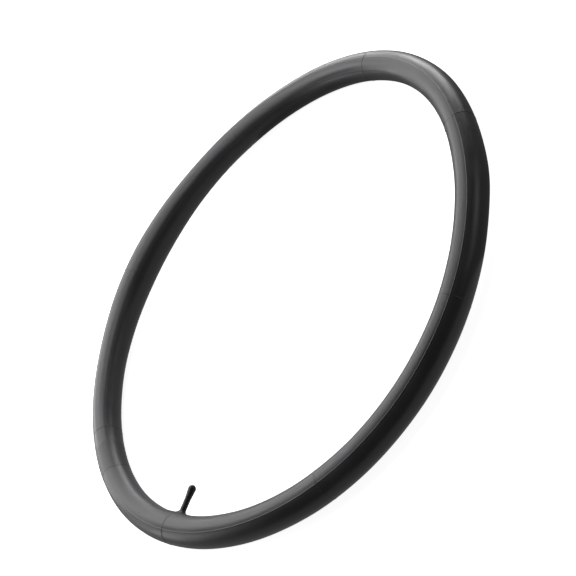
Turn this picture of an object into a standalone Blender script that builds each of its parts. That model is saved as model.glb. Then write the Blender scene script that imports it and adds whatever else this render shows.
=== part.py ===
"""Bicycle inner tube, inflated and lying flat, with a rubber-covered car-type valve.

Metres, +Z up. The ring lies on the plane z = 0 around the origin, and touches it at
three places. The valve stands on the ring's inner side at -Y and points along +Y.
Every valve piece is turned about the local Z of the empty valve_axis, whose origin
is on the tube's inner side, so heights on the valve are measured from there.
"""

import math

import bmesh
import bpy
from mathutils import Matrix

MM = 0.001

# --- the ring -------------------------------------------------------------------------
RING_RADIUS = 331.0 * MM
TUBE_RADIUS = 19.9 * MM
WALL = 0.7 * MM
RING_STEPS = 96
SECTION_STEPS = 20
# An inflated ring is never quite round or flat. Each row is a wave around the ring:
# its number of lobes, its height, and where its first crest is.
OUT_OF_ROUND = (
    (1, 3.37 * MM, math.radians(-103.3)),
    (2, 3.29 * MM, math.radians(-162)),
    (3, 3.64 * MM, math.radians(-63)),
)
LIFT_MEAN = 3.26 * MM
LIFT_WAVES = (
    (1, 1.79 * MM, math.radians(69)),
    (2, 1.85 * MM, math.radians(59)),
    (3, 2.95 * MM, math.radians(137)),
)
# How far the underside is pressed flat where the ring touches what it lies on.
PRESS = 0.7 * MM
# The ring swells on one stretch: by how much, about which angle, and over what reach.
SWELL = 3.4 * MM
SWELL_ANGLE = math.radians(175.5)
SWELL_REACH = math.radians(19.5)
SWELL_LIFT = 0.5
SWELL_INWARD = 0.4
VALVE_ANGLE = math.radians(-90)

# --- the valve: radii, and heights above the tube's inner side ---------------------------
GAP = 0.3 * MM
FINE_GAP = 0.15 * MM
TURN_STEPS = 32
SMALL_TURN_STEPS = 20

AIR_HOLE_RADIUS = 1.8 * MM
PATCH_HALF_LENGTH = 28 * MM
PATCH_HALF_WIDTH = 12.5 * MM
PATCH_THICKNESS = 0.9 * MM
PATCH_LIFT = 0.45 * MM

STEM_RADIUS = 3.95 * MM
STEM_BORE = 3.1 * MM
STEM_COVER_TOP = 22.0 * MM
FOOT_BASE = PATCH_LIFT + PATCH_THICKNESS + GAP
FOOT_FLARE = (
    (3.95 * MM, 5.4 * MM),
    (4.1 * MM, 4.5 * MM),
    (4.45 * MM, 3.8 * MM),
    (4.95 * MM, 3.2 * MM),
    (5.6 * MM, 2.7 * MM),
    (5.9 * MM, 2.2 * MM),
)

INSERT_FLANGE_RADIUS = 4.2 * MM
INSERT_FLANGE = 0.9 * MM
INSERT_RADIUS = STEM_BORE - GAP
INSERT_TOP = 33.0 * MM
THREAD_RADIUS = 3.8 * MM
THREAD_ROOT = 3.4 * MM
THREAD_PITCH = 0.79375 * MM
THREAD_RINGS = 11
CORE_BORE = 2.75 * MM
LOWER_BORE = 2.1 * MM
FOOT_BORE = 1.6 * MM
FOOT_BORE_TOP = 14.0 * MM
SEAT_TOP = INSERT_TOP - 7.8 * MM
SEAT_BOTTOM = INSERT_TOP - 10.4 * MM

CAP_MOUTH = STEM_COVER_TOP + GAP
CAP_MOUTH_RADIUS = 4.25 * MM
CAP_CAVITY = 3.95 * MM
CAP_CAVITY_TOP = INSERT_TOP + 1.6 * MM
CAP_TIP = 39.2 * MM
CAP_WIDEST = 33.4 * MM
CAP_RADIUS = 5.05 * MM
CAP_SKIRT = (
    (4.97 * MM, 31.0 * MM),
    (4.76 * MM, 28.4 * MM),
    (4.5 * MM, 25.9 * MM),
    (4.33 * MM, 23.6 * MM),
)
CAP_DOME_STEPS = 7
CAP_SEAL_BOTTOM = INSERT_TOP + GAP
CAP_SEAL_TOP = CAP_CAVITY_TOP - GAP

PLUG_RADIUS = CORE_BORE - FINE_GAP
PLUG_ROOT = 2.35 * MM
PLUG_PITCH = 0.7056 * MM
PLUG_THREAD_RINGS = 3
PLUG_TOP = INSERT_TOP - 1.8 * MM
PLUG_SHOULDER = INSERT_TOP - 3.8 * MM
PLUG_BOTTOM = INSERT_TOP - 6.0 * MM
PLUG_BORE = 1.9 * MM
PLUG_BORE_TOP = PLUG_TOP - 1.1 * MM
BRIDGE_WIDTH = 2.2 * MM
PIN_HOLE = 0.7 * MM

BARREL_TOP = PLUG_BOTTOM - GAP
BARREL_BOTTOM = INSERT_TOP - 14.0 * MM
BARREL_RADIUS = LOWER_BORE - 0.2 * MM
BARREL_NECK = 1.6 * MM
BARREL_BORE = 1.35 * MM
BARREL_LEDGE = 0.7 * MM
NECK_TOP = SEAT_TOP
NECK_BOTTOM = INSERT_TOP - 10.0 * MM

GASKET_TOP = NECK_TOP - FINE_GAP
GASKET_BOTTOM = NECK_BOTTOM + FINE_GAP
GASKET_TOP_RADIUS = 2.5 * MM
GASKET_BOTTOM_RADIUS = 2.08 * MM

SPRING_RADIUS = 0.92 * MM
SPRING_WIRE = 0.14 * MM
SPRING_BOTTOM = BARREL_BOTTOM + BARREL_LEDGE + FINE_GAP + SPRING_WIRE
SPRING_TOP = BARREL_TOP - 1.6 * MM
SPRING_TURNS = 7
SPRING_POINTS_PER_TURN = 12

PIN_RADIUS = 0.5 * MM
PIN_TOP = INSERT_TOP - 0.3 * MM
PIN_COLLAR_RADIUS = 1.15 * MM
PIN_COLLAR_BOTTOM = SPRING_TOP + SPRING_WIRE + FINE_GAP
PIN_COLLAR_TOP = PIN_COLLAR_BOTTOM + 0.6 * MM

CUP_TOP = BARREL_BOTTOM - 0.5 * MM
CUP_BOTTOM = CUP_TOP - 1.3 * MM
CUP_RADIUS = 1.7 * MM
CUP_CAVITY = 1.4 * MM
CUP_FLOOR = 0.3 * MM
CUP_HOLE = PIN_RADIUS + FINE_GAP
PLUNGER_SEAL_TOP = BARREL_BOTTOM - 0.2 * MM
PIN_HEAD_RADIUS = 0.9 * MM
PIN_HEAD_TOP = CUP_BOTTOM - FINE_GAP
PIN_BOTTOM = PIN_HEAD_TOP - 0.45 * MM

SHARP_ANGLE = math.radians(30)
COLLECTION_NAME = "inner_tube"


def clear_scene():
    for obj in list(bpy.data.objects):
        bpy.data.objects.remove(obj, do_unlink=True)
    for mesh in list(bpy.data.meshes):
        bpy.data.meshes.remove(mesh)


def new_collection(name):
    collection = bpy.data.collections.new(name)
    bpy.context.scene.collection.children.link(collection)
    return collection


def move_to(obj, collection):
    for owner in list(obj.users_collection):
        owner.objects.unlink(obj)
    collection.objects.link(obj)


def material(name, colour, roughness, metallic=0.0):
    mat = bpy.data.materials.new(name)
    mat.use_nodes = True
    shader = mat.node_tree.nodes["Principled BSDF"]
    shader.inputs["Base Color"].default_value = (*colour, 1.0)
    shader.inputs["Roughness"].default_value = roughness
    shader.inputs["Metallic"].default_value = metallic
    return mat


def tube_rubber():
    return material("tube_rubber", (0.11, 0.112, 0.118), 0.55)


def valve_rubber():
    return material("valve_rubber", (0.022, 0.022, 0.024), 0.5)


def cap_plastic():
    return material("cap_plastic", (0.016, 0.016, 0.017), 0.38)


def brass():
    return material("brass", (0.72, 0.53, 0.25), 0.3, 1.0)


def spring_steel():
    return material("spring_steel", (0.62, 0.62, 0.64), 0.28, 1.0)


def seal_rubber():
    return material("seal_rubber", (0.03, 0.03, 0.032), 0.6)


def gasket_red():
    return material("gasket_red", (0.45, 0.05, 0.04), 0.45)


def waves(rows, angle):
    return sum(height * math.cos(lobes * angle - crest) for lobes, height, crest in rows)


def swelling(angle):
    """How much thicker the section's radius is at this angle around the ring."""
    away = (angle - SWELL_ANGLE + math.pi) % (2 * math.pi) - math.pi
    return SWELL * math.exp(-((away / SWELL_REACH) ** 2))


def ring_radius(angle):
    return RING_RADIUS + waves(OUT_OF_ROUND, angle) - SWELL_INWARD * swelling(angle)


def centre_height(angle):
    lift = LIFT_MEAN + waves(LIFT_WAVES, angle) + SWELL_LIFT * swelling(angle)
    return TUBE_RADIUS + lift - PRESS


def tube_point(angle, turn, radius):
    """A point on the tube: angle around the ring, turn around the section from outside."""
    reach = ring_radius(angle) + radius * math.cos(turn)
    height = centre_height(angle) + radius * math.sin(turn)
    return (reach * math.cos(angle), reach * math.sin(angle), height)


def finish(obj, name, mat, collection):
    obj.name = name
    obj.data.name = name
    obj.data.materials.clear()
    obj.data.materials.append(mat)
    obj.data.shade_smooth()
    obj.data.set_sharp_from_angle(angle=SHARP_ANGLE)
    move_to(obj, collection)
    return obj


def turned(name, profile, mat, collection, axis, steps=TURN_STEPS, closed=True):
    """A solid turned about Z. The profile is (radius, height) pairs, down its outer side."""
    mesh = bpy.data.meshes.new(name)
    build = bmesh.new()
    points = [build.verts.new((radius, 0.0, height)) for radius, height in profile]
    for start, end in zip(points, points[1:]):
        build.edges.new((start, end))
    if closed:
        build.edges.new((points[-1], points[0]))
    build.to_mesh(mesh)
    build.free()
    obj = bpy.data.objects.new(name, mesh)
    bpy.context.scene.collection.objects.link(obj)
    screw = obj.modifiers.new("turn", "SCREW")
    screw.axis = "Z"
    screw.steps = steps
    screw.render_steps = steps
    screw.use_merge_vertices = True
    screw.merge_threshold = 1e-6
    screw.use_smooth_shade = True
    obj.parent = axis
    return finish(obj, name, mat, collection)


def cutter(obj, name, collection):
    obj.name = name
    obj.hide_render = True
    obj.display_type = "WIRE"
    move_to(obj, collection)
    return obj


def cylinder_cutter(name, radius, depth, height, collection, axis, steps=TURN_STEPS):
    bpy.ops.mesh.primitive_cylinder_add(radius=radius, depth=depth, vertices=steps)
    obj = bpy.context.active_object
    obj.location = (0.0, 0.0, height)
    obj.parent = axis
    return cutter(obj, name, collection)


def box_cutter(name, size, place, collection, axis):
    bpy.ops.mesh.primitive_cube_add(size=1.0)
    obj = bpy.context.active_object
    obj.data.transform(Matrix.Diagonal((*size, 1.0)))
    obj.location = place
    obj.parent = axis
    return cutter(obj, name, collection)


def cut(obj, tool):
    boolean = obj.modifiers.new(tool.name, "BOOLEAN")
    boolean.operation = "DIFFERENCE"
    boolean.solver = "EXACT"
    boolean.object = tool


def valve_axis():
    """An empty on the tube's inner side, with its Z along the valve, towards the middle."""
    axis = bpy.data.objects.new("valve_axis", None)
    bpy.context.scene.collection.objects.link(axis)
    reach = ring_radius(VALVE_ANGLE) - TUBE_RADIUS
    axis.location = (0.0, -reach, centre_height(VALVE_ANGLE))
    axis.rotation_euler = (math.radians(-90), 0.0, 0.0)
    bpy.context.view_layer.update()
    return axis


def make_air_tube(parts, cutters, axis):
    """The hollow butyl ring, pressed flat where it rests, with the valve's air hole."""
    bpy.ops.mesh.primitive_torus_add(
        major_radius=RING_RADIUS,
        minor_radius=TUBE_RADIUS,
        major_segments=RING_STEPS,
        minor_segments=SECTION_STEPS,
    )
    obj = bpy.context.active_object
    half_step = math.pi / SECTION_STEPS
    for vertex in obj.data.vertices:
        x, y, z = vertex.co
        angle = math.atan2(y, x)
        turn = math.atan2(z, math.hypot(x, y) - RING_RADIUS) + half_step
        point = tube_point(angle, turn, TUBE_RADIUS + swelling(angle))
        vertex.co = (point[0], point[1], max(point[2], 0.0))
    solidify = obj.modifiers.new("wall", "SOLIDIFY")
    solidify.thickness = WALL
    solidify.offset = -1.0
    tool = cylinder_cutter("air_hole", AIR_HOLE_RADIUS, 6 * MM, 0.0, cutters, axis)
    cut(obj, tool)
    return finish(obj, "air_tube", tube_rubber(), parts)


def make_valve_patch(parts, cutters, axis):
    """The thin oval pad that bonds the valve to the tube, wrapped on the tube's side."""
    bpy.ops.mesh.primitive_grid_add(x_subdivisions=28, y_subdivisions=12, size=2.0)
    obj = bpy.context.active_object
    reach = ring_radius(VALVE_ANGLE) - TUBE_RADIUS
    for vertex in obj.data.vertices:
        u, v, _ = vertex.co
        along = PATCH_HALF_LENGTH * u * math.sqrt(1 - v * v / 2)
        across = PATCH_HALF_WIDTH * v * math.sqrt(1 - u * u / 2)
        angle = VALVE_ANGLE + along / reach
        turn = math.pi + across / TUBE_RADIUS
        vertex.co = tube_point(angle, turn, TUBE_RADIUS + PATCH_LIFT)
    solidify = obj.modifiers.new("thickness", "SOLIDIFY")
    solidify.thickness = PATCH_THICKNESS
    solidify.offset = 1.0
    tool = cylinder_cutter("patch_hole", AIR_HOLE_RADIUS, 6 * MM, 0.0, cutters, axis)
    cut(obj, tool)
    return finish(obj, "valve_patch", valve_rubber(), parts)


def patch_drop(across):
    """How far the patch's outer side falls away at a distance across from the valve."""
    radius = TUBE_RADIUS + PATCH_LIFT + PATCH_THICKNESS
    return radius - math.sqrt(radius**2 - across**2)


def make_stem_cover(parts, axis):
    """The rubber sleeve, whose flared foot follows the patch and holds the insert."""
    recess_radius = INSERT_FLANGE_RADIUS + GAP
    recess_top = FOOT_BASE + INSERT_FLANGE + GAP
    profile = [
        (STEM_RADIUS - 0.3 * MM, STEM_COVER_TOP),
        (STEM_RADIUS, STEM_COVER_TOP - 0.3 * MM),
        *FOOT_FLARE,
        (FOOT_FLARE[-1][0], FOOT_BASE),
        (recess_radius, FOOT_BASE),
        (recess_radius, recess_top),
        (STEM_BORE, recess_top),
        (STEM_BORE, STEM_COVER_TOP),
    ]
    obj = turned("valve_stem_cover", profile, valve_rubber(), parts, axis)
    bpy.context.view_layer.update()
    graph = bpy.context.evaluated_depsgraph_get()
    mesh = bpy.data.meshes.new_from_object(obj.evaluated_get(graph))
    obj.modifiers.clear()
    obj.data = mesh
    for vertex in mesh.vertices:
        share = (recess_top - vertex.co.z) / (recess_top - FOOT_BASE)
        vertex.co.z -= max(share, 0.0) * patch_drop(vertex.co.y)
    return obj


def thread_rings(top, pitch, count, crest, root):
    """A thread's outline as rings, from its first crest down."""
    outline = []
    for ring in range(count):
        outline.append((crest, top - ring * pitch))
        outline.append((root, top - (ring + 0.5) * pitch))
    return outline


def make_stem_insert(parts, axis):
    """The brass tube: flanged at the foot, bored for the core, threaded for the cap."""
    profile = [
        (THREAD_ROOT, INSERT_TOP),
        *thread_rings(
            INSERT_TOP - 0.5 * THREAD_PITCH,
            THREAD_PITCH,
            THREAD_RINGS,
            THREAD_RADIUS,
            THREAD_ROOT,
        ),
        (THREAD_ROOT, STEM_COVER_TOP + GAP),
        (INSERT_RADIUS, STEM_COVER_TOP + GAP),
        (INSERT_RADIUS, FOOT_BASE + INSERT_FLANGE),
        (INSERT_FLANGE_RADIUS, FOOT_BASE + INSERT_FLANGE),
        (INSERT_FLANGE_RADIUS, FOOT_BASE),
        (FOOT_BORE, FOOT_BASE),
        (FOOT_BORE, FOOT_BORE_TOP),
        (LOWER_BORE, FOOT_BORE_TOP),
        (LOWER_BORE, SEAT_BOTTOM),
        (CORE_BORE, SEAT_TOP),
        (CORE_BORE, INSERT_TOP),
    ]
    return turned("stem_insert", profile, brass(), parts, axis)


def make_core_plug(parts, cutters, axis):
    """The core's threaded head: a ring with a bridge across it that guides the pin."""
    profile = [
        (PLUG_RADIUS, PLUG_TOP),
        *thread_rings(
            PLUG_SHOULDER, PLUG_PITCH, PLUG_THREAD_RINGS, PLUG_RADIUS, PLUG_ROOT
        ),
        (PLUG_ROOT, PLUG_BOTTOM),
        (PLUG_BORE, PLUG_BOTTOM),
        (PLUG_BORE, PLUG_BORE_TOP),
        (PIN_HOLE, PLUG_BORE_TOP),
        (PIN_HOLE, PLUG_TOP),
    ]
    obj = turned("core_plug", profile, brass(), parts, axis, SMALL_TURN_STEPS)
    depth = PLUG_TOP - PLUG_SHOULDER
    width = 2 * PLUG_RADIUS
    for side in (-1, 1):
        tool = box_cutter(
            f"bridge_side_{side + 2}",
            (2 * width, width, 2 * depth),
            (0.0, side * (BRIDGE_WIDTH + width) / 2, PLUG_TOP),
            cutters,
            axis,
        )
        cut(obj, tool)
    return obj


def make_core_barrel(parts, axis):
    """The core's lower tube, necked for its gasket, with a ledge under the spring."""
    profile = [
        (BARREL_RADIUS, BARREL_TOP),
        (BARREL_RADIUS, NECK_TOP),
        (BARREL_NECK, NECK_TOP),
        (BARREL_NECK, NECK_BOTTOM),
        (BARREL_RADIUS, NECK_BOTTOM),
        (BARREL_RADIUS, BARREL_BOTTOM),
        (PIN_HOLE, BARREL_BOTTOM),
        (PIN_HOLE, BARREL_BOTTOM + BARREL_LEDGE),
        (BARREL_BORE, BARREL_BOTTOM + BARREL_LEDGE),
        (BARREL_BORE, BARREL_TOP),
    ]
    return turned("core_barrel", profile, brass(), parts, axis, SMALL_TURN_STEPS)


def make_core_gasket(parts, axis):
    """The tapered ring between the barrel's neck and the insert's seat."""
    profile = [
        (GASKET_TOP_RADIUS, GASKET_TOP),
        (GASKET_BOTTOM_RADIUS, GASKET_BOTTOM),
        (BARREL_NECK + FINE_GAP, GASKET_BOTTOM),
        (BARREL_NECK + FINE_GAP, GASKET_TOP),
    ]
    return turned("core_gasket", profile, gasket_red(), parts, axis, SMALL_TURN_STEPS)


def make_core_spring(parts, axis):
    """The coil that lifts the pin, standing on the barrel's ledge."""
    curve = bpy.data.curves.new("core_spring", "CURVE")
    curve.dimensions = "3D"
    curve.bevel_depth = SPRING_WIRE
    curve.bevel_resolution = 2
    curve.use_fill_caps = True
    spline = curve.splines.new("POLY")
    last = SPRING_TURNS * SPRING_POINTS_PER_TURN
    spline.points.add(last)
    for index, point in enumerate(spline.points):
        way = 2 * math.pi * index / SPRING_POINTS_PER_TURN
        height = SPRING_BOTTOM + (SPRING_TOP - SPRING_BOTTOM) * index / last
        x = SPRING_RADIUS * math.cos(way)
        y = SPRING_RADIUS * math.sin(way)
        point.co = (x, y, height, 1.0)
    obj = bpy.data.objects.new("core_spring", curve)
    curve.materials.append(spring_steel())
    obj.parent = axis
    parts.objects.link(obj)
    return obj


def make_core_pin(parts, axis):
    """The pin that a pump or a fingernail presses, with the collar the spring lifts."""
    profile = [
        (0.0, PIN_TOP),
        (PIN_RADIUS - FINE_GAP, PIN_TOP),
        (PIN_RADIUS, PIN_TOP - FINE_GAP),
        (PIN_RADIUS, PIN_COLLAR_TOP),
        (PIN_COLLAR_RADIUS, PIN_COLLAR_TOP),
        (PIN_COLLAR_RADIUS, PIN_COLLAR_BOTTOM),
        (PIN_RADIUS, PIN_COLLAR_BOTTOM),
        (PIN_RADIUS, PIN_HEAD_TOP),
        (PIN_HEAD_RADIUS, PIN_HEAD_TOP),
        (PIN_HEAD_RADIUS, PIN_BOTTOM),
        (0.0, PIN_BOTTOM),
    ]
    return turned(
        "core_pin", profile, brass(), parts, axis, SMALL_TURN_STEPS, closed=False
    )


def make_plunger_cup(parts, axis):
    """The cup on the pin's lower end that carries the plunger's seal."""
    profile = [
        (CUP_RADIUS, CUP_TOP),
        (CUP_RADIUS, CUP_BOTTOM),
        (CUP_HOLE, CUP_BOTTOM),
        (CUP_HOLE, CUP_BOTTOM + CUP_FLOOR),
        (CUP_CAVITY, CUP_BOTTOM + CUP_FLOOR),
        (CUP_CAVITY, CUP_TOP),
    ]
    return turned("plunger_cup", profile, brass(), parts, axis, SMALL_TURN_STEPS)


def make_plunger_seal(parts, axis):
    """The rubber ring in the cup that shuts against the barrel's lower end."""
    bottom = CUP_BOTTOM + CUP_FLOOR + FINE_GAP
    profile = [
        (CUP_CAVITY - FINE_GAP, PLUNGER_SEAL_TOP),
        (CUP_CAVITY - FINE_GAP, bottom),
        (CUP_HOLE, bottom),
        (CUP_HOLE, PLUNGER_SEAL_TOP),
    ]
    return turned("plunger_seal", profile, seal_rubber(), parts, axis, SMALL_TURN_STEPS)


def make_valve_cap(parts, axis):
    """The cap: a skirt that widens to a domed end, hollow over the insert's thread."""
    dome = []
    for step in range(CAP_DOME_STEPS + 1):
        rise = math.pi / 2 * (1 - step / CAP_DOME_STEPS)
        radius = CAP_RADIUS * math.cos(rise)
        dome.append((radius, CAP_WIDEST + (CAP_TIP - CAP_WIDEST) * math.sin(rise)))
    dome[0] = (0.0, CAP_TIP)
    profile = [
        *dome,
        *CAP_SKIRT,
        (CAP_MOUTH_RADIUS, CAP_MOUTH),
        (CAP_CAVITY, CAP_MOUTH),
        (CAP_CAVITY, CAP_CAVITY_TOP),
        (0.0, CAP_CAVITY_TOP),
    ]
    return turned("valve_cap", profile, cap_plastic(), parts, axis, closed=False)


def make_cap_seal(parts, axis):
    """The washer in the cap's closed end, over the insert's rim."""
    radius = CAP_CAVITY - GAP
    profile = [
        (0.0, CAP_SEAL_TOP),
        (radius, CAP_SEAL_TOP),
        (radius, CAP_SEAL_BOTTOM),
        (0.0, CAP_SEAL_BOTTOM),
    ]
    return turned("cap_seal", profile, seal_rubber(), parts, axis, closed=False)


def main():
    clear_scene()
    parts = new_collection(COLLECTION_NAME)
    cutters = new_collection("cutters")
    axis = valve_axis()
    make_air_tube(parts, cutters, axis)
    make_valve_patch(parts, cutters, axis)
    make_stem_cover(parts, axis)
    make_stem_insert(parts, axis)
    make_core_plug(parts, cutters, axis)
    make_core_barrel(parts, axis)
    make_core_gasket(parts, axis)
    make_core_spring(parts, axis)
    make_core_pin(parts, axis)
    make_plunger_cup(parts, axis)
    make_plunger_seal(parts, axis)
    make_valve_cap(parts, axis)
    make_cap_seal(parts, axis)
    bpy.context.view_layer.update()


main()
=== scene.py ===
"""Looks for the inner tube: the ring's rubber skin, the valve's pieces, light and camera.

Metres, in the CAD model's frame. The ring's line, its thickness and the valve's place are
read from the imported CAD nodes, so the skin and the valve's pieces follow them.
"""

import math

import bpy
import numpy as np
from mathutils import Matrix, Vector


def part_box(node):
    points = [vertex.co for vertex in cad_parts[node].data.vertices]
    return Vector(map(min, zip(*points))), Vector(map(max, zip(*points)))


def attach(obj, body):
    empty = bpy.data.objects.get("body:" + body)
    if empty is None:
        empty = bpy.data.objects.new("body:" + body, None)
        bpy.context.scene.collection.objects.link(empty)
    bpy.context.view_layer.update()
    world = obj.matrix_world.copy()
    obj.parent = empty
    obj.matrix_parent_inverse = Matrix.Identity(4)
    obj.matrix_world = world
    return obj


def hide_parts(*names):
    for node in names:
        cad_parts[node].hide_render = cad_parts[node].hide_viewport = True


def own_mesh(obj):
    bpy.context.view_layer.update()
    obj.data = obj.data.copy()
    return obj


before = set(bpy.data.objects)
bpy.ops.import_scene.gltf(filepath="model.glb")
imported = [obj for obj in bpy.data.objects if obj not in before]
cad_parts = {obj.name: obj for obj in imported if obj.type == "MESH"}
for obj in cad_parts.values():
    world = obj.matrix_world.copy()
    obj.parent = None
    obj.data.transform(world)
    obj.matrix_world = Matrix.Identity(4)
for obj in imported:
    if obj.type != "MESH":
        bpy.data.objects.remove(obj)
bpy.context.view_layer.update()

MM = 0.001
TAU = 2 * math.pi
VALVE_ANGLE = math.radians(-90)

# --- the skin's mesh: angles go round the ring, turns go round the section from outside -----
CAD_STATIONS = 96
WAVE_LOBES = 16
RING_STEPS = 420
SECTION_ROWS = 104
SETTLE = 0.8 * MM
# Where the mesh is finer: steps out from a line, reaches, and rows from the seam by spacing.
FINE_STEPS = np.array([0.12, 0.25, 0.4, 0.55, 0.75, 1.0, 1.4]) * MM
SPLICE_FINE_REACH = 4.0 * MM
DOT_FINE_REACH = 3.2 * MM
CREASE_ROWS = (math.radians(35), math.radians(85), 0.4 * MM)
LEAST_ANGLE_STEP = 2e-5
LEAST_ROW_STEP = 1e-3

# --- marks left by the mould ------------------------------------------------------------
MOULD_LINES = 8
LINE_HEIGHT = 0.28 * MM
LINE_WIDTH = 0.5 * MM
LINE_SHADE_WIDTH = 0.85 * MM
LINE_PALE = 0.18
# The middle and half length, in degrees round the section, of each line's dark stretch.
LINE_DARK_ARCS = {0: (58, 62), 3: (35, 42), 4: (112, 34), 7: (126, 38)}
SEAM_TURN = math.radians(73)
SEAM_HEIGHT = 0.36 * MM
SEAM_WIDTH = 0.50 * MM
SEAM_WANDER = math.radians(7)
CREASE_TURN = math.radians(135)
CREASE_WANDER = math.radians(8)
CREASE_WIDTH = 0.8 * MM
CREASE_DEPTH = 0.1 * MM
CREASE_START = math.radians(70)
SPLICE_ANGLES = (VALVE_ANGLE - math.radians(31.0), VALVE_ANGLE - math.radians(40.2))
SPLICE_HEIGHT = 0.14 * MM
DOT_ANGLE = VALVE_ANGLE - math.radians(10.2)
DOT_TURN = math.radians(93)
DOT_RADIUS = 2.0 * MM
DOT_HEIGHT = 0.18 * MM
STREAK_DRAW = 0.05

# --- a slight bulge low on the ring's outer side ------------------------------------------
BULGE = 1.7 * MM
BULGE_ANGLE = math.radians(29)
BULGE_TURN = math.radians(-25)
BULGE_REACH = math.radians(9)

# --- the valve: radii, and heights above the tube's inner side ------------------------------
PAD_TOP = 1.18 * MM
PAD_EDGE = 0.16 * MM
PAD_DEPTH = 0.5 * MM
SLEEVE_RADIUS = 3.95 * MM
SLEEVE_BORE = 3.1 * MM
SLEEVE_LIP_RADIUS = 3.32 * MM
SLEEVE_LIP = 0.2 * MM
FLARE_TOP = 5.4 * MM
FLARE = ((4.1 * MM, 4.5 * MM), (4.45 * MM, 3.8 * MM), (4.95 * MM, 3.2 * MM), (5.6 * MM, 2.7 * MM))
# Past the CAD foot's radius and above the pad, then where the foot ends under the pad.
FEATHER = ((0.3 * MM, 0.95 * MM), (1.3 * MM, 0.35 * MM), (2.4 * MM, 0.05 * MM))
FEATHER_END = 2.6 * MM
FOOT_SUNK = 0.3 * MM
FLASH_HEIGHT = 0.09 * MM
FLASH_WIDTH = 0.22 * MM
THREAD_PITCH = 0.79375 * MM
THREAD_CREST = 3.8 * MM
THREAD_ROOT = 3.3 * MM
THREAD_LOW = 23.8 * MM
THREAD_END = 0.45 * MM
THREAD_ROWS = 10
STEM_BORE = 2.75 * MM
STEM_MOUTH = 2.95 * MM
STEM_NECK = 2.9 * MM
STEM_NECK_TOP = 21.6 * MM
STEM_STEP = 22.3 * MM
STEM_FLOOR = 15.0 * MM
CAP_MOUTH_RADIUS = 4.25 * MM
CAP_CAVITY = 3.95 * MM
CAP_DOME = 5.6 * MM
CAP_DOME_STEPS = 16
CAP_SKIRT_STEPS = 24
CAP_FLUTES = 22
FLUTE_DEPTH = 0.16 * MM
SPRING_WIRE = 0.14 * MM
SPRING_TURNS = 7
SPRING_STEPS = 28
SPRING_SIDES = 12

# --- the camera -------------------------------------------------------------------------
CAMERA_PLACE = Vector((1.6212, -0.4883, 1.1585))
CAMERA_AZIMUTH = math.radians(-72.99)
CAMERA_DOWN = math.radians(34.19)
CAMERA_ROLL = math.radians(-57.26)
CAMERA_LENS = 98.84

# --- light: each panel's name, place, facing, size and radiance. A place is how far it is
# away from the camera's side, to the right of it and up, with the ring in the middle. -------
WORLD_RADIANCE = 0.06
BACKDROP_RADIANCE = 0.85
FLOOR_GLOW = 0.92
PANELS = (
    ("wall", (1.9, 0.0, 0.68), (-1, 0, 0), (3.0, 0.87), 2.7),
    ("skirting_left", (1.9, -1.0, 0.13), (-1, 0, 0), (1.0, 0.25), 4.5),
    ("skirting_right", (1.9, 1.0, 0.13), (-1, 0, 0), (1.0, 0.25), 6.0),
    ("corner", (1.75, 1.9, 0.5), (-0.75, -0.65, 0), (0.8, 0.9), 7.0),
    ("top", (0.36, 0.0, 1.5), (0, 0, -1), (1.8, 0.4), 3.3),
    ("top_left", (1.4, -0.5, 1.5), (0, 0, -1), (0.9, 1.0), 4.8),
    ("top_right", (1.4, 0.5, 1.5), (0, 0, -1), (0.9, 1.0), 2.8),
    ("right", (0.9, 1.6, 0.2), (0, -1, 0), (0.9, 0.4), 2.6),
    ("left", (0.9, -1.6, 0.6), (0, 1, 0), (0.9, 1.1), 2.2),
    ("near_right", (-0.8, 1.6, 0.45), (0.4, -1, 0), (0.9, 0.6), 1.1),
    ("sweep", (1.2, 0.0, 0.004), (0, 0, 1), (3.2, 1.2), 1.6),
    ("fill", (0.0, -0.72, 0.003), (0, 0, 1), (1.76, 1.2), 0.3),
    ("fill_right", (0.0, 0.88, 0.003), (0, 0, 1), (1.44, 1.2), 0.1),
)


# ===== the ring, as the CAD model has it ====================================================


def ring_line():
    """The CAD ring's wave series for its line's reach and height and its section's radius."""
    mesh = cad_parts["air_tube"].data
    points = np.array([vertex.co[:] for vertex in mesh.vertices])
    reach = np.hypot(points[:, 0], points[:, 1])
    angles = np.arctan2(points[:, 1], points[:, 0])
    station_of = np.round(angles / TAU * CAD_STATIONS).astype(int) % CAD_STATIONS
    middles = np.zeros(CAD_STATIONS)
    heights = np.zeros(CAD_STATIONS)
    radii = np.zeros(CAD_STATIONS)
    for station in range(CAD_STATIONS):
        mine = station_of == station
        outer = reach[mine].max()
        inner = reach[mine].min()
        middles[station] = (outer + inner) / 2
        heights[station] = points[mine, 2].max() - (outer - inner) / 2
        away = np.hypot(reach[mine] - middles[station], points[mine, 2] - heights[station])
        radii[station] = away.max()
    return wave_series(middles), wave_series(heights), wave_series(radii)


def wave_series(values):
    """Mean and first few waves of values spaced evenly round the ring."""
    spectrum = np.fft.rfft(values) / len(values)
    return [spectrum[0].real] + [2 * term for term in spectrum[1 : WAVE_LOBES + 1]]


def waves(series, angle):
    total = series[0]
    for lobes, term in enumerate(series[1:], start=1):
        total = total + term.real * np.cos(lobes * angle) - term.imag * np.sin(lobes * angle)
    return total


REACH, HEIGHT, THICKNESS = ring_line()
TUBE_RADIUS = float(waves(THICKNESS, VALVE_ANGLE))


def tube_points(angle, turn, above):
    """Points at a height above the ring's surface, as an array of x, y, z."""
    radius = waves(THICKNESS, angle) + above
    reach = waves(REACH, angle) + radius * np.cos(turn)
    height = waves(HEIGHT, angle) + radius * np.sin(turn)
    return np.stack([reach * np.cos(angle), reach * np.sin(angle), height], axis=-1)


def settled(height):
    """Heights pressed up softly where the rubber meets what it lies on."""
    pressed = SETTLE * np.exp(np.minimum(height, SETTLE) / SETTLE - 1)
    return np.where(height < SETTLE, pressed, height)


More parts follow.
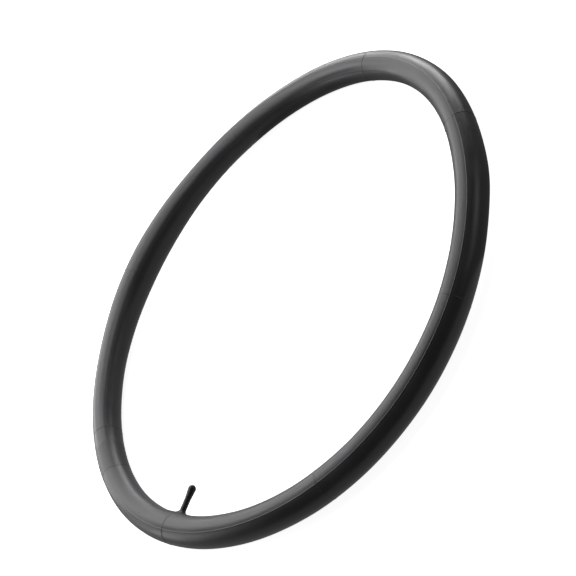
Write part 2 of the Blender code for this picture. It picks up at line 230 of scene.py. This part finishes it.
def bell(distance, width):
    return np.exp(-((distance / width) ** 2))


def smooth_step(low, high, value):
    share = np.clip((value - low) / (high - low), 0.0, 1.0)
    return share * share * (3 - 2 * share)


def wrapped(angle):
    """Angles brought to between -pi and pi."""
    return (angle + math.pi) % TAU - math.pi


# ===== mesh helpers ======================================================================


def add_mesh(name, points, faces, material, sharp=40):
    mesh = bpy.data.meshes.new(name)
    mesh.from_pydata([tuple(point) for point in points], [], faces)
    mesh.materials.append(material)
    mesh.shade_smooth()
    mesh.set_sharp_from_angle(angle=math.radians(sharp))
    obj = bpy.data.objects.new(name, mesh)
    bpy.context.scene.collection.objects.link(obj)
    return obj


def grid_faces(columns, rows, close_columns, close_rows):
    """Quads over a grid of points stored column by column."""
    faces = []
    for column in range(columns if close_columns else columns - 1):
        here = column * rows
        there = (column + 1) % columns * rows
        for row in range(rows if close_rows else rows - 1):
            above = (row + 1) % rows
            faces.append((here + row, there + row, there + above, here + above))
    return faces


def add_attribute(obj, name, values):
    attribute = obj.data.attributes.new(name, "FLOAT", "POINT")
    attribute.data.foreach_set("value", np.asarray(values, dtype=np.float32).ravel())


def add_vectors(obj, name, values):
    attribute = obj.data.attributes.new(name, "FLOAT_VECTOR", "POINT")
    attribute.data.foreach_set("vector", np.asarray(values, dtype=np.float32).ravel())


def refined(low, high, count, places, spacing):
    """Even steps from low to high, with finer ones about each place."""
    steps = list(np.linspace(low, high, count, endpoint=False))
    for place in places:
        steps = [s for s in steps if min(abs(s - place - offset) for offset in spacing) > 1e-5]
        steps += [place + offset for offset in spacing]
    steps = sorted(low + (step - low) % (high - low) for step in steps)
    kept = [steps[0]]
    for step in steps[1:]:
        if step - kept[-1] > LEAST_ANGLE_STEP:
            kept.append(step)
    return np.array(kept)


# ===== material helpers =====================================================================


class Nodes:
    """A short way to write a material's node tree."""

    def __init__(self, name):
        self.material = bpy.data.materials.new(name)
        self.material.use_nodes = True
        self.tree = self.material.node_tree
        self.shader = self.tree.nodes["Principled BSDF"]

    def node(self, kind, **settings):
        made = self.tree.nodes.new("ShaderNode" + kind)
        for key, value in settings.items():
            setattr(made, key, value)
        return made

    def put(self, value, socket):
        if hasattr(value, "is_output"):
            self.tree.links.new(value, socket)
        else:
            socket.default_value = value

    def place(self):
        return self.node("TexCoord").outputs["Object"]

    def attribute(self, name, output="Fac"):
        return self.node("Attribute", attribute_name=name).outputs[output]

    def math(self, operation, first, second=0.0):
        made = self.node("Math", operation=operation)
        self.put(first, made.inputs[0])
        self.put(second, made.inputs[1])
        return made.outputs[0]

    def noise(self, vector, scale, detail=3.0, rough=0.5, w=None):
        made = self.node("TexNoise", noise_dimensions="3D" if w is None else "4D")
        self.put(vector, made.inputs["Vector"])
        if w is not None:
            self.put(w, made.inputs["W"])
        made.inputs["Scale"].default_value = scale
        made.inputs["Detail"].default_value = detail
        made.inputs["Roughness"].default_value = rough
        return made.outputs["Fac"]

    def spread(self, value, low, high, to_low, to_high):
        made = self.node("MapRange", clamp=True)
        made.interpolation_type = "SMOOTHSTEP"
        for name, entry in zip(
            ("Value", "From Min", "From Max", "To Min", "To Max"),
            (value, low, high, to_low, to_high),
        ):
            self.put(entry, made.inputs[name])
        return made.outputs["Result"]

    def mix(self, share, first, second):
        made = self.node("Mix", data_type="RGBA")
        colours = [socket for socket in made.inputs if socket.type == "RGBA"]
        self.put(share, made.inputs["Factor"])
        for socket, colour in zip(colours, (first, second)):
            self.put(colour if hasattr(colour, "is_output") else (*colour, 1.0), socket)
        return next(socket for socket in made.outputs if socket.type == "RGBA")

    def bump(self, height, distance, strength=1.0, normal=None):
        made = self.node("Bump")
        made.inputs["Strength"].default_value = strength
        made.inputs["Distance"].default_value = distance
        self.put(height, made.inputs["Height"])
        if normal is not None:
            self.put(normal, made.inputs["Normal"])
        return made.outputs["Normal"]

    def finish(self, colour, roughness, normal=None, metallic=0.0, **fixed):
        self.put(colour, self.shader.inputs["Base Color"])
        self.put(roughness, self.shader.inputs["Roughness"])
        self.shader.inputs["Metallic"].default_value = metallic
        if normal is not None:
            self.put(normal, self.shader.inputs["Normal"])
        for key, value in fixed.items():
            self.shader.inputs[key.replace("_", " ")].default_value = value
        return self.material


def tube_rubber():
    """Cured butyl: dark, satin, with a dull bloom in drawn-out streaks, dark mould lines, and
    painted shade along the crease and under the seam.
    """
    n = Nodes("tube_rubber_look")
    place = n.place()
    lay = n.attribute("lay", "Vector")
    around = n.attribute("around")
    streak = n.noise(lay, 75.0, 4.0, 0.55, w=around)
    bloom = n.noise(place, 16.0, 3.0, 0.5)
    cloud = n.math("ADD", n.math("MULTIPLY", streak, 0.6), n.math("MULTIPLY", bloom, 0.4))
    shade = n.spread(cloud, 0.36, 0.64, 0.0, 1.0)
    colour = n.mix(shade, (0.030, 0.031, 0.034), (0.047, 0.047, 0.049))
    colour = n.mix(n.math("MULTIPLY", n.attribute("splice"), 0.5), colour, (0.020, 0.021, 0.023))
    # The dark marks carry painted shade too: the crease and a band under the seam are darkened
    # here.
    colour = n.mix(n.math("MULTIPLY", n.attribute("marks_and_painted_shade"), 0.85), colour, (0.006, 0.006, 0.007))
    fine = n.noise(place, 1500.0, 2.0, 0.6)
    rough = n.spread(shade, 0.0, 1.0, 0.34, 0.42)
    rough = n.math("ADD", rough, n.math("MULTIPLY", n.math("SUBTRACT", fine, 0.5), 0.08))
    rough = n.math("ADD", rough, n.math("MULTIPLY", n.attribute("splice"), 0.05))
    rough = n.math("ADD", rough, n.math("MULTIPLY", n.attribute("marks_and_painted_shade"), 0.25))
    normal = n.bump(fine, 0.03 * MM, 0.5)
    normal = n.bump(n.noise(place, 140.0, 3.0, 0.5), 0.25 * MM, 0.35, normal)
    normal = n.bump(streak, 0.8 * MM, 0.35, normal)
    return n.finish(colour, rough, normal, IOR=1.52)


def valve_rubber():
    """The valve's moulded rubber: blacker than the tube, satin, finely grained."""
    n = Nodes("valve_rubber_look")
    place = n.place()
    fine = n.noise(place, 2200.0, 2.0, 0.6)
    patch = n.noise(place, 260.0, 3.0, 0.5)
    shade = n.spread(patch, 0.35, 0.65, 0.0, 1.0)
    colour = n.mix(shade, (0.010, 0.010, 0.011), (0.018, 0.018, 0.019))
    rough = n.spread(patch, 0.3, 0.7, 0.40, 0.50)
    normal = n.bump(fine, 0.02 * MM, 0.5)
    normal = n.bump(patch, 0.12 * MM, 0.4, normal)
    return n.finish(colour, rough, normal, IOR=1.5)


def cap_plastic():
    """The cap's moulded plastic: black, with a soft shine and a fine spark-eroded grain."""
    n = Nodes("cap_plastic_look")
    place = n.place()
    grain = n.noise(place, 3200.0, 3.0, 0.7)
    wear = n.noise(place, 420.0, 4.0, 0.6)
    shade = n.spread(wear, 0.4, 0.7, 0.0, 1.0)
    colour = n.mix(shade, (0.010, 0.010, 0.010), (0.020, 0.020, 0.021))
    rough = n.spread(wear, 0.3, 0.7, 0.30, 0.42)
    return n.finish(colour, rough, n.bump(grain, 0.02 * MM, 0.45), IOR=1.49)


def machined_brass():
    """Turned brass: bright, with lathe rings about the valve's axis and a dull tarnish."""
    n = Nodes("machined_brass_look")
    place = n.place()
    split = n.node("SeparateXYZ")
    n.put(place, split.inputs[0])
    join = n.node("CombineXYZ")
    n.put(n.math("MULTIPLY", split.outputs[1], 9000.0), join.inputs[1])
    rings = n.noise(join.outputs[0], 1.0, 2.0, 0.6)
    stain = n.noise(place, 500.0, 4.0, 0.6)
    tarnish = n.spread(stain, 0.45, 0.75, 0.0, 1.0)
    colour = n.mix(tarnish, (0.76, 0.56, 0.27), (0.50, 0.35, 0.16))
    rough = n.math("ADD", n.spread(rings, 0.2, 0.8, 0.20, 0.32), n.math("MULTIPLY", tarnish, 0.12))
    return n.finish(colour, rough, n.bump(rings, 0.01 * MM, 0.4), metallic=1.0)


def spring_wire():
    n = Nodes("spring_wire_look")
    drawn = n.noise(n.place(), 2600.0, 3.0, 0.6)
    colour = n.mix(n.spread(drawn, 0.3, 0.7, 0.0, 1.0), (0.52, 0.52, 0.54), (0.68, 0.68, 0.70))
    rough = n.spread(drawn, 0.3, 0.7, 0.22, 0.36)
    return n.finish(colour, rough, n.bump(drawn, 0.005 * MM, 0.4), metallic=1.0)


def small_rubber(name, dark, light):
    """The washers and the gasket: matt rubber with a fine moulded grain."""
    n = Nodes(name)
    place = n.place()
    grain = n.noise(place, 1800.0, 3.0, 0.6)
    colour = n.mix(n.spread(grain, 0.3, 0.7, 0.0, 1.0), dark, light)
    rough = n.spread(grain, 0.3, 0.7, 0.52, 0.64)
    return n.finish(colour, rough, n.bump(grain, 0.02 * MM, 0.5))


def floor_paint():
    n = Nodes("floor_paint")
    grain = n.noise(n.place(), 30.0, 2.0, 0.5)
    colour = n.mix(grain, (0.90, 0.90, 0.90), (0.92, 0.92, 0.92))
    n.shader.inputs["Emission Color"].default_value = (1.0, 1.0, 1.0, 1.0)
    n.shader.inputs["Emission Strength"].default_value = FLOOR_GLOW
    return n.finish(colour, 0.75)


# ===== the tube's skin =====================================================================


def seam_twist(angle):
    """How far the parting seam wanders round the section along the ring."""
    once = np.cos(angle - math.radians(115))
    twice = np.cos(2 * (angle - math.radians(100)))
    return SEAM_WANDER * (1.5 * once + 0.9 * twice)


def crease_turn(angle):
    """Where round the section the crease runs, along the ring."""
    return CREASE_TURN + CREASE_WANDER * np.cos(angle - math.radians(100))


def line_shade(number, turn):
    """How dark each mould line is: it has a dark stretch, or is pale all the way round."""
    shade = np.full(turn.shape, LINE_PALE)
    for dark, (middle, reach) in LINE_DARK_ARCS.items():
        away = np.abs(np.degrees(wrapped(turn - math.radians(middle))))
        stretch = 1 - smooth_step(reach - 8, reach + 8, away)
        shade = np.where(number == dark, LINE_PALE + (1 - LINE_PALE) * stretch, shade)
    return shade


def skin_relief(angle, turn):
    """Height of the moulded marks above the round section, and the colour masks: dark marks with
    painted shade, and the splice band.
    """
    line_step = TAU / MOULD_LINES
    along = wrapped((angle - VALVE_ANGLE) * MOULD_LINES) / MOULD_LINES
    line = np.abs(along) * waves(REACH, angle)
    seam = np.abs(wrapped((turn - SEAM_TURN - seam_twist(angle)) * 2) / 2) * TUBE_RADIUS
    start, end = SPLICE_ANGLES
    ramp = math.radians(0.25)
    uneven = math.radians(0.5) * np.sin(3 * turn + 0.6)
    splice = smooth_step(end - ramp, end + ramp, angle + uneven)
    splice = splice * (1 - smooth_step(start - ramp, start + ramp, angle - 0.6 * uneven))
    across = wrapped(turn - DOT_TURN) * TUBE_RADIUS
    beside = wrapped(angle - DOT_ANGLE) * waves(REACH, angle)
    dot = np.hypot(across, beside)
    button = DOT_HEIGHT * (1 - smooth_step(0.75 * DOT_RADIUS, DOT_RADIUS, dot))
    moat = 0.5 * DOT_HEIGHT * bell(dot - 1.25 * DOT_RADIUS, 0.25 * DOT_RADIUS)
    number = np.round((angle - VALVE_ANGLE) / line_step).astype(int) % MOULD_LINES
    shade = line_shade(number, turn)
    relief = LINE_HEIGHT * bell(line, LINE_WIDTH)
    relief = relief + SEAM_HEIGHT * bell(seam, SEAM_WIDTH)
    relief = relief + SPLICE_HEIGHT * splice + button - moat
    past_start = smooth_step(CREASE_START, CREASE_START + 0.4, angle)
    crease_on = past_start + 1 - smooth_step(end - 0.02, end, angle)
    uneven_crease = 0.8 + 0.2 * np.sin(5 * angle + 0.5)
    crease = bell(wrapped(turn - crease_turn(angle)) * TUBE_RADIUS, CREASE_WIDTH) * crease_on
    relief = relief - CREASE_DEPTH * crease * uneven_crease
    # Dark marks: the mould lines' dark stretches, and painted shade in the crease.
    marks_and_painted_shade = np.maximum(shade * bell(line, LINE_SHADE_WIDTH), crease * uneven_crease)
    # Painted shade: a dark band just under the seam ridge.
    shade_under_seam = wrapped(turn - SEAM_TURN - seam_twist(angle)) * TUBE_RADIUS + 1.3 * SEAM_WIDTH
    marks_and_painted_shade = np.maximum(marks_and_painted_shade, 0.45 * bell(shade_under_seam, 0.8 * SEAM_WIDTH))
    marks_and_painted_shade = np.maximum(marks_and_painted_shade, 0.5 * bell(dot - 1.2 * DOT_RADIUS, 0.3 * DOT_RADIUS))
    edge = np.maximum(bell(angle + uneven - end, ramp), bell(angle - 0.6 * uneven - start, ramp))
    marks_and_painted_shade = np.maximum(marks_and_painted_shade, 0.35 * edge)
    return relief, marks_and_painted_shade, splice


def skin_unevenness(angle, turn):
    """The slight lumps of a thin rubber skin under pressure."""
    lumps = 0.10 * np.sin(7 * angle + 1.3) * np.cos(turn + 0.4)
    lumps = lumps + 0.07 * np.sin(13 * angle + 2.0 * turn + 0.7)
    lumps = lumps + 0.05 * np.sin(23 * angle - turn + 2.1)
    beside = bell(wrapped(angle - BULGE_ANGLE), BULGE_REACH)
    bulge = BULGE * beside * bell(wrapped(turn - BULGE_TURN), 2.5 * BULGE_REACH)
    return lumps * MM + bulge


def make_tube_skin(material):
    """The rubber ring, with finer steps at its moulded marks."""
    fine = np.concatenate([-FINE_STEPS[::-1], [0.0], FINE_STEPS])
    ring_radius = float(REACH[0])
    line_places = [VALVE_ANGLE + TAU * k / MOULD_LINES for k in range(MOULD_LINES)]
    splice_steps = np.linspace(-SPLICE_FINE_REACH, SPLICE_FINE_REACH, 17) / ring_radius
    dot_steps = np.linspace(-DOT_FINE_REACH, DOT_FINE_REACH, 17)
    angles = refined(-math.pi, math.pi, RING_STEPS, line_places, fine / ring_radius)
    angles = np.sort(np.concatenate([angles, *[a + splice_steps for a in SPLICE_ANGLES]]))
    angles = np.sort(np.concatenate([angles, DOT_ANGLE + dot_steps / ring_radius]))
    angles = angles[np.concatenate([[True], np.diff(angles) > LEAST_ANGLE_STEP])]
    seams = [0.0, math.pi]
    rows = refined(0.0, TAU, SECTION_ROWS, seams, fine / TUBE_RADIUS)
    dot_row = (DOT_TURN - SEAM_TURN - seam_twist(DOT_ANGLE)) % TAU
    rows = np.sort(np.concatenate([rows, dot_row + dot_steps / TUBE_RADIUS]))
    first, last, spacing = CREASE_ROWS
    crease_rows = np.arange(first, last, spacing / TUBE_RADIUS)
    rows = np.sort(np.concatenate([rows, crease_rows]))
    rows = rows[np.concatenate([[True], np.diff(rows) > LEAST_ROW_STEP])]
    angle, row = np.meshgrid(angles, rows, indexing="ij")
    turn = wrapped(row + SEAM_TURN + seam_twist(angle))
    relief, marks_and_painted_shade, splice = skin_relief(angle, turn)
    points = tube_points(angle, turn, relief + skin_unevenness(angle, turn))
    points[..., 2] = settled(points[..., 2])
    faces = grid_faces(len(angles), len(rows), True, True)
    obj = add_mesh("tube_skin", points.reshape(-1, 3), faces, material)
    # The dark marks, with the painted shade of the crease and under the seam.
    add_attribute(obj, "marks_and_painted_shade", marks_and_painted_shade)
    add_attribute(obj, "splice", splice)
    across = [TUBE_RADIUS * np.cos(turn), TUBE_RADIUS * np.sin(turn)]
    lay = np.stack([*across, STREAK_DRAW * np.cos(angle)], axis=-1)
    add_vectors(obj, "lay", lay.reshape(-1, 3))
    add_attribute(obj, "around", STREAK_DRAW * np.sin(angle))
    return obj


# ===== the valve ============================================================================


def valve_frame():
    """Places on the valve: its axis's x and z, and y where the tube's inner side is."""
    low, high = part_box("valve_cap")
    side = -(float(waves(REACH, VALVE_ANGLE)) - TUBE_RADIUS)
    return (low[0] + high[0]) / 2, side, (low[2] + high[2]) / 2


AXIS_X, ROOT_Y, AXIS_Z = valve_frame()


def above_root(node):
    """A node's lowest and highest places along the valve, from the tube's inner side."""
    low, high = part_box(node)
    return low[1] - ROOT_Y, high[1] - ROOT_Y


def node_radius(node):
    low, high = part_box(node)
    return (high[0] - low[0]) / 2


def turned_points(profile, steps, shape=None):
    """A profile of (radius, height) turned about the valve's axis, as columns of points."""
    angle = np.linspace(0.0, TAU, steps, endpoint=False)[:, None]
    radius = np.array([point[0] for point in profile])[None, :] + 0.0 * angle
    height = np.array([point[1] for point in profile])[None, :] + 0.0 * angle
    if shape is not None:
        radius, height = shape(angle + 0.0 * radius, radius, height)
    x = AXIS_X + radius * np.cos(angle)
    z = AXIS_Z - radius * np.sin(angle)
    return np.stack([x, ROOT_Y + height, z], axis=-1)


def turned(name, profile, steps, material, shape=None, closed=True, sharp=35):
    """A turned piece. An open profile starts and ends on the axis."""
    points = turned_points(profile, steps, shape)
    rows = len(profile)
    faces = grid_faces(steps, rows, True, closed)
    obj = add_mesh(name, points.reshape(-1, 3), faces, material, sharp)
    if not closed:
        merge = obj.modifiers.new("poles", "WELD")
        merge.merge_threshold = 1e-6
    return obj


def rounded(corners, radius, steps=4):
    """A profile whose inside points are each replaced by an arc-like curve."""
    points = [corners[0]]
    for before, corner, after in zip(corners, corners[1:], corners[2:]):
        first = Vector(before) - Vector(corner)
        last = Vector(after) - Vector(corner)
        cut = min(radius, 0.45 * first.length, 0.45 * last.length)
        start = Vector(corner) + first.normalized() * cut
        end = Vector(corner) + last.normalized() * cut
        for step in range(steps + 1):
            share = step / steps
            way = start.lerp(Vector(corner), share).lerp(Vector(corner).lerp(end, share), share)
            points.append((way.x, way.y))
    points.append(corners[-1])
    return points


def patch_drop(across, radius):
    """How far a round surface falls away at a distance from its crest."""
    return radius - np.sqrt(np.maximum(radius**2 - across**2, 0.0))


def make_valve_pad(material):
    """The oval pad under the valve, feathered into the tube at its edge."""
    low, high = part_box("valve_patch")
    half_length = (high[0] - low[0]) / 2
    half_width = TUBE_RADIUS * math.asin(min((high[2] - low[2]) / 2 / TUBE_RADIUS, 1.0))
    columns = 73
    rows = 37
    u = np.linspace(-1, 1, columns)[:, None]
    v = np.linspace(-1, 1, rows)[None, :]
    along = half_length * u * np.sqrt(1 - v * v / 2)
    across = half_width * v * np.sqrt(1 - u * u / 2)
    share = np.hypot(along / half_length, across / half_width)
    thick = PAD_EDGE + (PAD_TOP - PAD_EDGE) * (1 - smooth_step(0.35, 0.93, share))
    thick = thick - PAD_DEPTH * smooth_step(0.95, 1.0, share)
    side = float(waves(REACH, VALVE_ANGLE)) - TUBE_RADIUS
    angle = VALVE_ANGLE + along / side
    turn = math.pi + across / TUBE_RADIUS
    points = tube_points(angle, turn, thick)
    faces = grid_faces(columns, rows, False, False)
    obj = add_mesh("valve_pad", points.reshape(-1, 3), faces, material, 60)
    depth = obj.modifiers.new("depth", "SOLIDIFY")
    depth.thickness = PAD_DEPTH
    depth.offset = -1.0
    return obj


def make_stem_sleeve(material):
    """The rubber over the valve: its flared foot follows the pad, and flash runs up it."""
    top = above_root("valve_stem_cover")[1]
    foot = node_radius("valve_stem_cover")
    base = PAD_TOP - FOOT_SUNK
    corners = [
        (SLEEVE_LIP_RADIUS, top + SLEEVE_LIP),
        (SLEEVE_RADIUS, top + SLEEVE_LIP),
        (SLEEVE_RADIUS, FLARE_TOP),
        *FLARE,
        *((foot + past, PAD_TOP + above) for past, above in FEATHER),
        (foot + FEATHER_END, base),
        (SLEEVE_BORE, base),
        (SLEEVE_BORE, top - 0.5 * SLEEVE_LIP),
        (SLEEVE_LIP_RADIUS, top + SLEEVE_LIP),
    ]
    profile = rounded(corners, 0.6 * MM, 5)[:-1]

    def shape(angle, r, h):
        outside = smooth_step(SLEEVE_BORE + 0.2 * MM, SLEEVE_RADIUS - 0.2 * MM, r)
        flash = FLASH_HEIGHT * bell(wrapped((angle - math.pi / 2) * 2) / 2 * r, FLASH_WIDTH)
        fade = 1 - smooth_step(top - 1.2 * MM, top - 0.4 * MM, h)
        share = np.clip((FLARE_TOP - h) / (FLARE_TOP - base), 0.0, 1.0)
        drop = patch_drop(r * np.sin(angle), TUBE_RADIUS + PAD_TOP)
        rise = patch_drop(r * np.cos(angle), float(waves(REACH, VALVE_ANGLE)) - TUBE_RADIUS)
        return r + flash * outside * fade, h - share * (drop - rise)

    return turned("stem_sleeve", profile, 120, material, shape)


def thread_profile(low, high, pitch, radius):
    """Rows close enough together to carry a helical thread."""
    rows = int(round((high - low) / pitch * THREAD_ROWS))
    return [(radius, high - (high - low) * row / rows) for row in range(rows + 1)]


def helix_tooth(angle, height, pitch):
    """0 at the thread's root and 1 at its crest, for a right-hand thread."""
    phase = (height / pitch + angle / TAU) % 1.0
    return smooth_step(0.12, 0.46, np.minimum(phase, 1 - phase))


def make_threaded_stem(material):
    """The brass stem with a true helical thread, open at its end over the core."""
    top = above_root("stem_insert")[1]
    thread_high = top - THREAD_END
    profile = [
        (STEM_BORE, STEM_FLOOR),
        (STEM_BORE, top - 0.35 * MM),
        (STEM_MOUTH, top),
        (THREAD_ROOT + 0.05 * MM, top),
        *thread_profile(THREAD_LOW, thread_high, THREAD_PITCH, THREAD_ROOT),
        (THREAD_ROOT - 0.08 * MM, STEM_STEP),
        (STEM_NECK, STEM_NECK_TOP),
        (STEM_NECK, STEM_FLOOR),
    ]

    def shape(angle, r, h):
        on_thread = (h <= thread_high + 1e-7) & (h >= THREAD_LOW - 1e-7)
        on_thread = on_thread & (r < THREAD_ROOT + 1e-6) & (r > STEM_MOUTH + 0.05 * MM)
        fade = smooth_step(THREAD_LOW, THREAD_LOW + THREAD_PITCH, h)
        run_out = smooth_step(thread_high - 0.7 * THREAD_PITCH, thread_high, h)
        tooth = helix_tooth(angle, h, THREAD_PITCH) * fade * (1 - 0.75 * run_out) * on_thread
        return r + (THREAD_CREST - THREAD_ROOT) * tooth, h

    return turned("threaded_stem", profile, 72, material, shape)


def make_dust_cap(material):
    """The cap: a fluted skirt that widens into a smooth dome, with a plain bore."""
    mouth, tip = above_root("valve_cap")
    widest = node_radius("valve_cap")
    shoulder = tip - CAP_DOME
    ceiling = above_root("cap_seal")[1] + 0.1 * MM
    dome = [(0.0, tip)]
    for step in range(1, CAP_DOME_STEPS + 1):
        rise = math.pi / 2 * (1 - step / CAP_DOME_STEPS)
        dome.append((widest * math.cos(rise), shoulder + (tip - shoulder) * math.sin(rise)))
    skirt = []
    for step in range(1, CAP_SKIRT_STEPS + 1):
        share = step / CAP_SKIRT_STEPS
        swell = 0.5 + 0.5 * math.cos(math.pi * share**0.85)
        radius = CAP_MOUTH_RADIUS + (widest - CAP_MOUTH_RADIUS) * swell
        skirt.append((radius, shoulder + (mouth + 0.25 * MM - shoulder) * share))
    profile = [
        *dome,
        *skirt,
        (CAP_MOUTH_RADIUS - 0.08 * MM, mouth),
        (CAP_CAVITY + 0.08 * MM, mouth),
        (CAP_CAVITY, mouth + 0.25 * MM),
        (CAP_CAVITY, ceiling),
        (0.0, ceiling),
    ]

    def shape(angle, r, h):
        outside = r > CAP_CAVITY + 0.15 * MM
        band = smooth_step(mouth + 0.8 * MM, mouth + 1.8 * MM, h)
        band = band * (1 - smooth_step(shoulder - 2.6 * MM, shoulder - 0.6 * MM, h))
        groove = 0.5 - 0.5 * np.cos(CAP_FLUTES * angle)
        return r - FLUTE_DEPTH * groove * band * outside, h

    return turned("dust_cap", profile, 132, material, shape, closed=False)


def make_coil(material):
    """The core's spring: round wire with closed end turns."""
    low, high = above_root("core_spring")
    radius = node_radius("core_spring") - SPRING_WIRE
    share = np.linspace(0.0, 1.0, SPRING_STEPS * SPRING_TURNS + 1)
    lift = 0.5 + 0.5 * np.sin(math.pi * (np.clip(share, 0.08, 0.92) - 0.5) / 0.84)
    rise = high - low - 2 * SPRING_WIRE
    centre = low + SPRING_WIRE + rise * (0.75 * share + 0.25 * lift)
    way = TAU * SPRING_TURNS * share
    around = np.linspace(0.0, TAU, SPRING_SIDES, endpoint=False)[None, :]
    reach = radius + SPRING_WIRE * np.cos(around)
    x = AXIS_X + reach * np.cos(way)[:, None]
    y = ROOT_Y + centre[:, None] + SPRING_WIRE * np.sin(around)
    z = AXIS_Z - reach * np.sin(way)[:, None]
    faces = grid_faces(len(share), SPRING_SIDES, False, True)
    faces.append(tuple(range(SPRING_SIDES)))
    faces.append(tuple(len(share) * SPRING_SIDES - 1 - side for side in range(SPRING_SIDES)))
    points = np.stack([x, y, z], axis=-1)
    obj = add_mesh("core_coil", points.reshape(-1, 3), faces, material)
    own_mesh(obj)
    return obj


# ===== putting it together ====================================================================


def stand_for(piece, node, body):
    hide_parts(node)
    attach(piece, body)


def repaint(names, material):
    for name in names:
        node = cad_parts[name]
        for slot in node.material_slots:
            slot.material = material


def make_pieces():
    rubber = valve_rubber()
    brass = machined_brass()
    stand_for(make_tube_skin(tube_rubber()), "air_tube", "tube")
    stand_for(make_valve_pad(rubber), "valve_patch", "tube")
    stand_for(make_stem_sleeve(rubber), "valve_stem_cover", "tube")
    stand_for(make_threaded_stem(brass), "stem_insert", "tube")
    stand_for(make_dust_cap(cap_plastic()), "valve_cap", "cap")
    repaint(("core_plug", "core_barrel", "core_pin", "plunger_cup"), brass)
    stand_for(make_coil(spring_wire()), "core_spring", "tube")
    repaint(("plunger_seal", "cap_seal"), small_rubber("seal_look", (0.02,) * 3, (0.04,) * 3))
    repaint(("core_gasket",), small_rubber("gasket_look", (0.33, 0.03, 0.02), (0.5, 0.06, 0.05)))


def make_floor():
    bpy.ops.mesh.primitive_plane_add(size=16.0)
    floor = bpy.context.active_object
    floor.name = "floor"
    floor.data.materials.append(floor_paint())
    floor.visible_diffuse = False
    floor.visible_glossy = False


def studio(depth, side, height):
    """A direction or place measured away from the camera, to its right and up."""
    away = Vector((math.sin(CAMERA_AZIMUTH), math.cos(CAMERA_AZIMUTH), 0.0))
    right = Vector((away.y, -away.x, 0.0))
    return depth * away + side * right + Vector((0.0, 0.0, height))


def soft_panel(name, place, facing, size, radiance):
    """An evenly bright rectangle of light."""
    data = bpy.data.lights.new(name, "AREA")
    data.shape = "RECTANGLE"
    data.size, data.size_y = size
    data.energy = math.pi * size[0] * size[1] * radiance
    lamp = bpy.data.objects.new(name, data)
    bpy.context.scene.collection.objects.link(lamp)
    back = -studio(*facing).normalized()
    level = studio(0, 1, 0) if abs(back.z) > 0.5 else Vector((0, 0, 1)).cross(back).normalized()
    turn = Matrix((level, back.cross(level), back)).transposed().to_4x4()
    lamp.matrix_world = Matrix.Translation(studio(*place)) @ turn
    lamp.visible_camera = False


def make_world():
    """Dim surroundings for the object, which the camera sees as a pale backdrop."""
    world = bpy.data.worlds.new("studio")
    bpy.context.scene.world = world
    world.use_nodes = True
    tree = world.node_tree
    background = tree.nodes["Background"]
    background.inputs["Color"].default_value = (1.0, 1.0, 1.0, 1.0)
    background.inputs["Strength"].default_value = WORLD_RADIANCE
    backdrop = tree.nodes.new("ShaderNodeBackground")
    backdrop.inputs["Color"].default_value = (1.0, 1.0, 1.0, 1.0)
    backdrop.inputs["Strength"].default_value = BACKDROP_RADIANCE
    seen = tree.nodes.new("ShaderNodeLightPath").outputs["Is Camera Ray"]
    mix = tree.nodes.new("ShaderNodeMixShader")
    tree.links.new(seen, mix.inputs[0])
    tree.links.new(background.outputs[0], mix.inputs[1])
    tree.links.new(backdrop.outputs[0], mix.inputs[2])
    tree.links.new(mix.outputs[0], tree.nodes["World Output"].inputs[0])


def make_camera():
    data = bpy.data.cameras.new("camera")
    data.lens = CAMERA_LENS
    data.sensor_width = 36.0
    camera = bpy.data.objects.new("camera", data)
    bpy.context.scene.collection.objects.link(camera)
    flat = math.cos(CAMERA_DOWN)
    forward = Vector(
        (math.sin(CAMERA_AZIMUTH) * flat, math.cos(CAMERA_AZIMUTH) * flat, -math.sin(CAMERA_DOWN))
    )
    level = forward.cross(Vector((0, 0, 1))).normalized()
    above = level.cross(forward)
    right = level * math.cos(CAMERA_ROLL) + above * math.sin(CAMERA_ROLL)
    up = right.cross(forward)
    turn = Matrix((right, up, -forward)).transposed().to_4x4()
    camera.matrix_world = Matrix.Translation(CAMERA_PLACE) @ turn
    bpy.context.scene.camera = camera


make_camera()
make_world()
for panel in PANELS:
    soft_panel(*panel)
make_floor()
make_pieces()
bpy.context.scene.view_settings.view_transform = "Standard"
bpy.context.view_layer.update()
